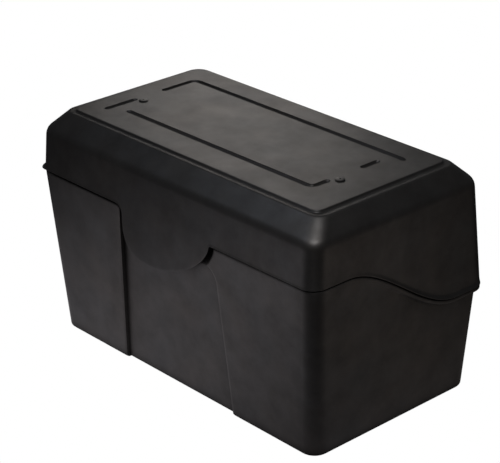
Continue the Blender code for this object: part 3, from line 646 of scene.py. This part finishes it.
def front_edge(straight):
    """The lid's lower edge along the front, left to right, as (x, z) points: seam, tongue, seam."""
    flat_steps = 14
    turn_steps = 36
    crowding = 1.5  # draws the left side's points up towards its fillet
    left_turn = fillet_turn(TONGUE_LEFT_FILLET, TONGUE_LEFT_POWER)
    right_turn = fillet_turn(TONGUE_RIGHT_FILLET, TONGUE_RIGHT_POWER)
    left_start = Vector((TONGUE_LEFT - TONGUE_LEFT_FILLET, SEAM_FRONT))
    right_start = Vector((TONGUE_RIGHT + TONGUE_RIGHT_FILLET, SEAM_FRONT))
    points = []
    for step in range(1, flat_steps):
        points.append(Vector((lerp(-straight, left_start.x, step / flat_steps), SEAM_FRONT)))
    points += fillet(left_start, TONGUE_LEFT, tongue_point(left_turn, True))
    for step in range(1, turn_steps):
        eased = (step / turn_steps) ** crowding
        points.append(tongue_point(lerp(left_turn, math.pi / 2, eased), True))
    for step in range(turn_steps):
        points.append(tongue_point(lerp(math.pi / 2, right_turn, step / turn_steps), False))
    points += fillet(right_start, TONGUE_RIGHT, tongue_point(right_turn, False))[::-1]
    for step in range(1, flat_steps):
        points.append(Vector((lerp(right_start.x, straight, step / flat_steps), SEAM_FRONT)))
    return points


def edge_normals(points):
    """Unit vectors in the wall's plane that point from the edge into the lid."""
    normals = []
    for index in range(len(points)):
        before = points[max(index - 1, 0)]
        after = points[min(index + 1, len(points) - 1)]
        direction = (after - before).normalized()
        normals.append(Vector((-direction.y, direction.x)))
    return normals


def column_shares(points, straight):
    """Where each front column stands at the skirt line, as a share of the half length.

    The columns go straight up, and spread evenly across the tongue.
    """
    tolerance = 0.0001
    on_tongue = [index for index, point in enumerate(points) if point.y < SEAM_FRONT - tolerance]
    first, last = on_tongue[0], on_tongue[-1]
    shares = []
    for index, point in enumerate(points):
        x = point.x
        if first <= index <= last:
            x = lerp(points[first].x, points[last].x, (index - first) / (last - first))
        shares.append(x / straight)
    return shares


# ---------------------------------------------------------------- lid


def flare_share(station):
    """The edge flares out most at the back and at the front left corner, and little along the front."""
    if station.side == "right":
        return lerp(FLARE_ON_FRONT, FLARE_AT_BACK, smooth(station.along))
    if station.side == "left":
        return lerp(FLARE_AT_BACK, FLARE_AT_LEFT_CORNER, smooth(2 * station.along - 1))
    if station.side == "front_left":
        return lerp(FLARE_AT_LEFT_CORNER, FLARE_ON_FRONT, smooth(2.2 * station.along - 1.2))
    return FLARE_ON_FRONT if station.side.startswith("front") else FLARE_AT_BACK


def edge_scale(station):
    """The shaped edge is lower along the front than round the rest."""
    if station.side == "front":
        return FRONT_EDGE_SCALE
    if station.side == "front_left":
        return lerp(1.0, FRONT_EDGE_SCALE, smooth(2 * station.along - 1))
    if station.side == "front_right":
        return lerp(FRONT_EDGE_SCALE, 1.0, smooth(station.along))
    return 1.0


class LidLoft:
    """Collects the lid's rings, from the panel down the outside and up the inside."""

    def __init__(self):
        straight = lid_outline(SEAM_FRONT).half_length - CORNER_RADIUS
        self.points = front_edge(straight)
        self.normals = edge_normals(self.points)
        self.shares = column_shares(self.points, straight)
        self.stations = side_stations([Station("front", index) for index in range(len(self.points))])
        self.rings = []
        self.panel = panel_outline()
        self.ledge = ledge_outline()
        self.ledge_height = TOP_HEIGHT - PANEL_STEP

    def spread_x(self, index, outline):
        return self.shares[index] * (outline.half_length - outline.radius)

    def level(self, height, outline):
        ring = []
        for station in self.stations:
            if station.side == "front":
                ring.append((self.spread_x(station.along, outline), outline.front, height))
            else:
                ring.append((*side_point(station, outline), height))
        self.rings.append(ring)

    def above_edge(self, rise, out_at):
        """A ring that follows the lid's lower edge."""
        ring = []
        for station in self.stations:
            out = out_at(station)
            up = rise * edge_scale(station)
            if station.side == "front":
                place = self.points[station.along] + self.normals[station.along] * up
                outline = grown(lid_outline(place.y), out)
                ring.append((place.x, outline.front, place.y))
            else:
                height = station_seam(station) + up
                outline = grown(lid_outline(height), out, min(out, 0.0))
                ring.append((*side_point(station, outline), height))
        self.rings.append(ring)

    def skirt(self, share, out):
        """A ring between the shaped edge and the plain wall."""
        ring = []
        for station in self.stations:
            top_rise = EDGE_PROFILE[0][0] * edge_scale(station)
            if station.side == "front":
                low = self.points[station.along] + self.normals[station.along] * top_rise
                height = lerp(low.y, SKIRT_LINE, share)
                outline = grown(lid_outline(height), out)
                x = lerp(low.x, self.spread_x(station.along, outline), share)
                ring.append((x, outline.front, height))
            else:
                height = lerp(station_seam(station) + top_rise, SKIRT_LINE, share)
                ring.append((*side_point(station, grown(lid_outline(height), out)), height))
        self.rings.append(ring)

    def edge_out(self, station, flare, round_in):
        """How far out the edge stands: flared, but rounded in under the tongue."""
        if station.side != "front":
            return flare * flare_share(station)
        on_tongue = smooth((SEAM_FRONT - self.points[station.along].y) / TONGUE_FADE)
        return lerp(flare * FLARE_ON_FRONT, -round_in * TONGUE_ROUND_SHARE, on_tongue)

    def top(self):
        """The raised panel's rounded edge, the step down, the ledge and the chamfer."""
        for down, out in PANEL_EDGE:
            self.level(TOP_HEIGHT - down, grown(self.panel, out))
        for up, out in PANEL_FOOT:
            self.level(self.ledge_height + up, grown(self.panel, out))
        self.level(self.ledge_height, grown(self.ledge, -LEDGE_ROUND))
        for height, outline in self.ledge_curve():
            self.level(height, outline)
        crease = lid_outline(CREASE_HEIGHT)
        chamfer_steps = 9
        for step in range(1, chamfer_steps):
            share = lerp(CHAMFER_FIRST, CHAMFER_LAST, step / chamfer_steps)
            height = lerp(self.ledge_height, CREASE_HEIGHT, share)
            self.level(height, blend_outline(self.ledge, crease, share))

    def ledge_curve(self):
        """Rounds the ledge's outer edge into the chamfer, as (height, outline) pairs."""
        steps = 4
        crease = lid_outline(CREASE_HEIGHT)
        found = []
        for step in range(1, steps + 1):
            share = step / steps
            chamfer_share = CHAMFER_FIRST * share
            first = grown(self.ledge, lerp(-LEDGE_ROUND, 0.0, share))
            second = blend_outline(self.ledge, crease, chamfer_share)
            height = lerp(self.ledge_height, CREASE_HEIGHT, chamfer_share * share)
            found.append((height, blend_outline(first, second, share)))
        return found

    def crease_curve(self):
        """Rounds the chamfer into the wall below the crease, as (height, outline) pairs."""
        steps = 8
        crease = lid_outline(CREASE_HEIGHT)
        start = blend_outline(self.ledge, crease, CHAMFER_LAST)
        start_height = lerp(self.ledge_height, CREASE_HEIGHT, CHAMFER_LAST)
        end_height = CREASE_HEIGHT - CREASE_REACH
        end = lid_outline(end_height)
        found = []
        for step in range(steps + 1):
            share = step / steps
            first = (1 - share) ** 2
            middle = 2 * share * (1 - share)
            last = share**2
            outline = Outline(*(a * first + b * middle + c * last for a, b, c in zip(start, crease, end)))
            found.append((start_height * first + CREASE_HEIGHT * middle + end_height * last, outline))
        return found

    def outer_wall(self):
        for height, outline in self.crease_curve():
            self.level(height, outline)
        wall_steps = 5
        for step in range(1, wall_steps):
            height = lerp(CREASE_HEIGHT - CREASE_REACH, SKIRT_LINE, step / wall_steps)
            self.level(height, lid_outline(height))
        for share in (1.0, 0.75, 0.5, 0.3, 0.15, 0.05):
            self.skirt(share, 0.0)
        for rise, flare, round_in in EDGE_PROFILE:
            self.above_edge(rise, lambda station: self.edge_out(station, flare, round_in))

    def inner_wall(self):
        """The underside of the edge, rounded a little, and the inside of the wall."""
        inner_edge = [(0.0001, LID_WALL - 0.0003), (0.0006, LID_WALL), (EDGE_PROFILE[0][0], LID_WALL)]
        for rise, inset in inner_edge:
            self.above_edge(rise, lambda station: -inset)
        for share in (0.05, 0.5, 1.0):
            self.skirt(share, -LID_WALL)
        height = lerp(SKIRT_LINE, CREASE_HEIGHT - CREASE_REACH, 0.5)
        self.level(height, grown(lid_outline(height), -LID_WALL))

    def ceiling(self):
        """The inside of the crease, the chamfer and the panel."""
        drop = 0.0028
        inset = 0.0032
        for height, outline in reversed(self.crease_curve()):
            self.level(height - drop, grown(outline, -inset))
        under = TOP_HEIGHT - PANEL_THICK
        bend = 0.002
        inner_crease = grown(lid_outline(CREASE_HEIGHT), -LID_WALL)
        self.level(under - bend, blend_outline(grown(self.ledge, -bend), inner_crease, CHAMFER_FIRST))
        self.level(under, grown(self.ledge, -3 * bend))


def lid_rings():
    loft = LidLoft()
    loft.top()
    loft.outer_wall()
    loft.inner_wall()
    loft.ceiling()
    return loft.rings


# ---------------------------------------------------------------- grooves and vent holes


def arc(centre, radius, start_degrees, end_degrees):
    steps = 8
    points = []
    for step in range(steps + 1):
        angle = math.radians(lerp(start_degrees, end_degrees, step / steps))
        points.append((centre[0] + radius * math.cos(angle), centre[1] + radius * math.sin(angle)))
    return points


def groove_paths():
    """Centre lines on the panel, as (x, y) points: two bent grooves that nearly frame it, and two dashes."""
    left, right = -0.221, 0.193
    back, front = 0.076, -0.078
    bend = GROOVE_BEND
    back_groove = [(left, 0.016)]
    back_groove += arc((left + bend, back - bend), bend, 180, 90)
    back_groove += arc((0.207, back - bend), bend, 90, 55)
    front_groove = [(-0.189, front)]
    front_groove += arc((right - bend, front + bend), bend, -90, 0)
    front_groove += [(right, -0.050)]
    left_dash = [(left, -0.042), (left, -0.093)]
    right_dash = [(right, 0.018), (right, 0.045)]
    return {"back": back_groove, "front": front_groove, "left_dash": left_dash, "right_dash": right_dash}


def tube_along(name, path, radius, height):
    """A closed tube whose centre line follows a path of (x, y) at a height, with rounded ends."""
    sides = 14
    end_shares = (0.3, 0.75)
    spine = [Vector((x, y, height)) for x, y in path]
    first = (spine[1] - spine[0]).normalized()
    last = (spine[-1] - spine[-2]).normalized()

    def rounded_end(end, outward, along, share):
        turn = share * math.pi / 2
        return end + outward * radius * math.cos(turn), along, radius * math.sin(turn)

    sections = [rounded_end(spine[0], -first, first, share) for share in end_shares]
    for index, point in enumerate(spine):
        before = spine[max(index - 1, 0)]
        after = spine[min(index + 1, len(spine) - 1)]
        sections.append((point, (after - before).normalized(), radius))
    sections += [rounded_end(spine[-1], last, last, share) for share in reversed(end_shares)]

    rings = []
    for centre, along, size in sections:
        across = Vector((-along.y, along.x, 0.0))
        ring = []
        for side in range(sides):
            angle = math.tau * side / sides
            ring.append(centre + across * size * math.cos(angle) + Vector((0, 0, 1)) * size * math.sin(angle))
        rings.append(ring)
    return mesh_over(name, rings)


def round_hole(name, radius, low, high):
    sides = 32
    rings = []
    for height in (low, high):
        ring = []
        for side in range(sides):
            angle = math.tau * side / sides
            ring.append((radius * math.cos(angle), radius * math.sin(angle), height))
        rings.append(ring)
    return mesh_over(name, rings)


def lid_cutters():
    cutters = []
    for name, path in groove_paths().items():
        mesh = tube_along(f"groove_{name}", path, GROOVE_RADIUS, TOP_HEIGHT + GROOVE_LIFT)
        cutters.append(add_object(f"groove_{name}", mesh))
    for name, (x, y) in VENT_PLACES.items():
        mesh = round_hole(f"vent_{name}", VENT_HOLE_RADIUS, TOP_HEIGHT - 0.02, TOP_HEIGHT + 0.01)
        hole = add_object(f"vent_{name}", mesh)
        hole.location = (x, y, 0.0)
        cutters.append(hole)
    return cutters


# ---------------------------------------------------------------- material helpers


def new_material(name):
    made = bpy.data.materials.new(name)
    made.use_nodes = True
    return made, made.node_tree.nodes, made.node_tree.links


def noise(nodes, links, scale, detail, roughness=0.55):
    coordinates = nodes.new("ShaderNodeTexCoord")
    texture = nodes.new("ShaderNodeTexNoise")
    texture.inputs["Scale"].default_value = scale
    texture.inputs["Detail"].default_value = detail
    texture.inputs["Roughness"].default_value = roughness
    links.new(coordinates.outputs["Object"], texture.inputs["Vector"])
    return texture.outputs["Fac"]


def spread(nodes, links, source, low=0.0, high=1.0):
    """Maps a noise's middle range to low..high."""
    mapped = nodes.new("ShaderNodeMapRange")
    mapped.inputs["From Min"].default_value = 0.3
    mapped.inputs["From Max"].default_value = 0.7
    mapped.inputs["To Min"].default_value = low
    mapped.inputs["To Max"].default_value = high
    links.new(source, mapped.inputs["Value"])
    return mapped.outputs["Result"]


def two_colours(nodes, links, source, first, second):
    ramp = nodes.new("ShaderNodeMix")
    ramp.data_type = "RGBA"
    ramp.inputs["A"].default_value = (*first, 1.0)
    ramp.inputs["B"].default_value = (*second, 1.0)
    links.new(source, ramp.inputs["Factor"])
    return ramp.outputs["Result"]


def bump(nodes, links, height, distance, strength, normal=None):
    node = nodes.new("ShaderNodeBump")
    node.inputs["Distance"].default_value = distance
    node.inputs["Strength"].default_value = strength
    links.new(height, node.inputs["Height"])
    if normal is not None:
        links.new(normal, node.inputs["Normal"])
    return node.outputs["Normal"]


def sheen_with_painted_shade(nodes, links):
    """The sheen: uneven on open surfaces, and dulled by painted shade in corners, gaps and grooves, where
    shadow falls.
    """
    shade_node = nodes.new("ShaderNodeAmbientOcclusion")
    shade_node.inputs["Distance"].default_value = PAINTED_SHADE_REACH
    shade_node.samples = 8
    mapped = nodes.new("ShaderNodeMapRange")
    mapped.inputs["From Min"].default_value = 0.45
    mapped.inputs["From Max"].default_value = 0.95
    mapped.inputs["To Min"].default_value = PAINTED_SHADE_SHEEN
    sheen = spread(nodes, links, noise(nodes, links, scale=26.0, detail=4.0, roughness=0.6), *OPEN_SHEEN)
    links.new(sheen, mapped.inputs["To Max"])
    links.new(shade_node.outputs["AO"], mapped.inputs["Value"])
    return mapped.outputs["Result"]


def moulded(name, dark, light, roughness, grain):
    """A moulded or coated surface: blotchy satin sheen, fine grain, a faint waviness, and painted shade that
    dulls the sheen in crevices.
    """
    made, nodes, links = new_material(name)
    shader = nodes["Principled BSDF"]
    cloud = spread(nodes, links, noise(nodes, links, scale=9.0, detail=5.0))
    links.new(two_colours(nodes, links, cloud, dark, light), shader.inputs["Base Color"])
    blotches = spread(nodes, links, noise(nodes, links, scale=22.0, detail=6.0, roughness=0.65), *roughness)
    links.new(blotches, shader.inputs["Roughness"])
    tint = spread(nodes, links, noise(nodes, links, scale=12.0, detail=3.0))
    links.new(two_colours(nodes, links, tint, COOL_SHEEN, WARM_SHEEN), shader.inputs["Specular Tint"])
    wave = bump(nodes, links, noise(nodes, links, scale=14.0, detail=2.0), distance=0.004, strength=0.06)
    grains = noise(nodes, links, scale=1500.0, detail=2.0)
    fine = bump(nodes, links, grains, distance=0.0002, strength=grain, normal=wave)
    links.new(fine, shader.inputs["Normal"])
    shader.inputs["IOR"].default_value = 1.49
    # Painted shade: the sheen is dulled in corners, gaps and grooves
    links.new(sheen_with_painted_shade(nodes, links), shader.inputs["Specular IOR Level"])
    return made


def metal(name, dark, light, roughness):
    """Bare or plated metal: cloudy colour, uneven polish and a fine texture."""
    made, nodes, links = new_material(name)
    shader = nodes["Principled BSDF"]
    shader.inputs["Metallic"].default_value = 1.0
    cloud = spread(nodes, links, noise(nodes, links, scale=60.0, detail=5.0))
    links.new(two_colours(nodes, links, cloud, dark, light), shader.inputs["Base Color"])
    polish = spread(nodes, links, noise(nodes, links, scale=140.0, detail=4.0), *roughness)
    links.new(polish, shader.inputs["Roughness"])
    texture = noise(nodes, links, scale=260.0, detail=3.0)
    links.new(bump(nodes, links, texture, distance=0.0002, strength=0.25), shader.inputs["Normal"])
    return made


# ---------------------------------------------------------------- materials, named as the record's slots


def black_plastic():
    dark = (0.0085, 0.0078, 0.0075)
    light = (0.0115, 0.0107, 0.0102)
    return moulded("black_plastic", dark, light, roughness=(0.42, 0.48), grain=0.35)


def gland_nylon():
    dark = (0.010, 0.010, 0.011)
    light = (0.016, 0.016, 0.017)
    return moulded("gland_nylon", dark, light, roughness=(0.38, 0.5), grain=0.2)


def black_rubber():
    dark = (0.010, 0.010, 0.010)
    light = (0.02, 0.02, 0.02)
    return moulded("black_rubber", dark, light, roughness=(0.75, 0.9), grain=0.8)


def painted_steel():
    dark = (0.012, 0.012, 0.013)
    light = (0.02, 0.02, 0.021)
    return moulded("painted_steel", dark, light, roughness=(0.32, 0.45), grain=0.5)


def zinc_steel():
    dark = (0.50, 0.50, 0.52)
    light = (0.66, 0.66, 0.68)
    return metal("zinc_steel", dark, light, roughness=(0.25, 0.42))


def brass():
    dark = (0.50, 0.35, 0.14)
    light = (0.66, 0.48, 0.20)
    return metal("brass", dark, light, roughness=(0.28, 0.45))


def make_materials():
    return {
        "black_plastic": black_plastic(),
        "gland_nylon": gland_nylon(),
        "black_rubber": black_rubber(),
        "painted_steel": painted_steel(),
        "zinc_steel": zinc_steel(),
        "brass": brass(),
    }


# ---------------------------------------------------------------- studio


def camera():
    data = bpy.data.cameras.new("camera")
    data.sensor_width = 36.0
    data.lens = CAMERA_LENS
    data.clip_end = 50.0
    obj = add_object("camera", data)
    yaw, pitch, roll = CAMERA_YAW, CAMERA_PITCH, CAMERA_ROLL
    ahead = Vector((math.sin(yaw) * math.cos(pitch), math.cos(yaw) * math.cos(pitch), math.sin(pitch)))
    level = Vector((math.cos(yaw), -math.sin(yaw), 0.0))
    up = level.cross(ahead)
    right = level * math.cos(roll) + up * math.sin(roll)
    top = up * math.cos(roll) - level * math.sin(roll)
    turn = Matrix((right, top, -ahead)).transposed().to_4x4()
    obj.matrix_world = Matrix.Translation(CAMERA_PLACE) @ turn
    bpy.context.scene.camera = obj


def area_light(name, light):
    data = bpy.data.lights.new(name, "AREA")
    data.shape = "RECTANGLE"
    data.size, data.size_y = light.size
    data.energy = light.power
    data.color = light.colour
    obj = add_object(name, data)
    direction = Vector(light.target) - Vector(light.place)
    obj.rotation_euler = direction.to_track_quat("-Z", "Y").to_euler()
    obj.location = light.place


def pool_of_light(nodes, links, pool):
    """The light of one soft round pool on the floor, as an emission shader."""
    coordinates = nodes.new("ShaderNodeTexCoord")
    mapping = nodes.new("ShaderNodeMapping")
    x, y = pool.centre
    mapping.inputs["Location"].default_value = (-x / pool.reach, -y / pool.reach, 0.0)
    mapping.inputs["Scale"].default_value = (1 / pool.reach, 1 / pool.reach, 1.0)
    gradient = nodes.new("ShaderNodeTexGradient")
    gradient.gradient_type = "SPHERICAL"
    links.new(coordinates.outputs["Object"], mapping.inputs["Vector"])
    links.new(mapping.outputs["Vector"], gradient.inputs["Vector"])
    eased = nodes.new("ShaderNodeMapRange")
    eased.interpolation_type = "SMOOTHSTEP"
    eased.inputs["To Max"].default_value = pool.brightness
    links.new(gradient.outputs["Fac"], eased.inputs["Value"])
    light = nodes.new("ShaderNodeEmission")
    light.inputs["Color"].default_value = (*pool.tint, 1.0)
    links.new(eased.outputs["Result"], light.inputs["Strength"])
    return light


def show_to_camera(nodes, links, seen, otherwise, surface):
    """Gives the camera one shader to see, and every other ray another one."""
    path = nodes.new("ShaderNodeLightPath")
    mix = nodes.new("ShaderNodeMixShader")
    links.new(path.outputs["Is Camera Ray"], mix.inputs["Fac"])
    links.new(otherwise.outputs[0], mix.inputs[1])
    links.new(seen.outputs[0], mix.inputs[2])
    links.new(mix.outputs[0], surface)


def floor_material():
    """White to the eye, and pools of light to the box's reflections."""
    made, nodes, links = new_material("floor")
    nodes.remove(nodes["Principled BSDF"])
    seen = nodes.new("ShaderNodeEmission")
    reflected = nodes.new("ShaderNodeEmission")
    reflected.inputs["Strength"].default_value = FLOOR_LOW
    for pool in POOLS:
        total = nodes.new("ShaderNodeAddShader")
        links.new(reflected.outputs[0], total.inputs[0])
        links.new(pool_of_light(nodes, links, pool).outputs[0], total.inputs[1])
        reflected = total
    show_to_camera(nodes, links, seen, reflected, nodes["Material Output"].inputs["Surface"])
    return made


def floor():
    """A wide square just under the box."""
    half = FLOOR_HALF_SIZE
    mesh = bpy.data.meshes.new("floor")
    bm = bmesh.new()
    corners = [(-half, -half), (half, -half), (half, half), (-half, half)]
    bm.faces.new([bm.verts.new((x, y, -FLOOR_DROP)) for x, y in corners])
    bm.to_mesh(mesh)
    bm.free()
    obj = add_object("floor", mesh)
    mesh.materials.append(floor_material())


def world():
    """White to the eye, and a dim cool surrounding light to the box."""
    made = bpy.data.worlds.new("studio")
    made.use_nodes = True
    bpy.context.scene.world = made
    nodes, links = made.node_tree.nodes, made.node_tree.links
    seen = nodes["Background"]
    seen.inputs["Color"].default_value = (*WHITE, 1.0)
    seen.inputs["Strength"].default_value = 1.0
    ambient = nodes.new("ShaderNodeBackground")
    ambient.inputs["Color"].default_value = (*AMBIENT_COLOUR, 1.0)
    ambient.inputs["Strength"].default_value = AMBIENT
    show_to_camera(nodes, links, seen, ambient, nodes["World Output"].inputs["Surface"])


def studio():
    floor()
    world()
    camera()
    for name, light in LIGHTS.items():
        area_light(name, light)
    bpy.context.scene.view_settings.view_transform = "Standard"


# ---------------------------------------------------------------- box


def build_tub(material):
    tub = add_piece("tub_shell", mesh_over("tub_shell", tub_rings()), "tub", material)
    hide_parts("tub")


def build_lid(material):
    lid = add_piece("lid_shell", mesh_over("lid_shell", lid_rings()), "lid", material)
    carve(lid, lid_cutters())
    lid.data.materials.clear()
    lid.data.materials.append(material)
    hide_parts("lid")


def paint_cad(materials):
    """Gives each CAD piece that stays the material of its slot in the record."""
    slots = {part["node"]: part["material_slot"] for part in frame["record"]["subparts"]}
    for name, obj in NODES.items():
        if name not in ("tub", "lid"):
            obj.data.materials.clear()
            obj.data.materials.append(materials[slots[name]])


def main():
    materials = make_materials()
    build_tub(materials["black_plastic"])
    build_lid(materials["black_plastic"])
    paint_cad(materials)
    studio()


main()
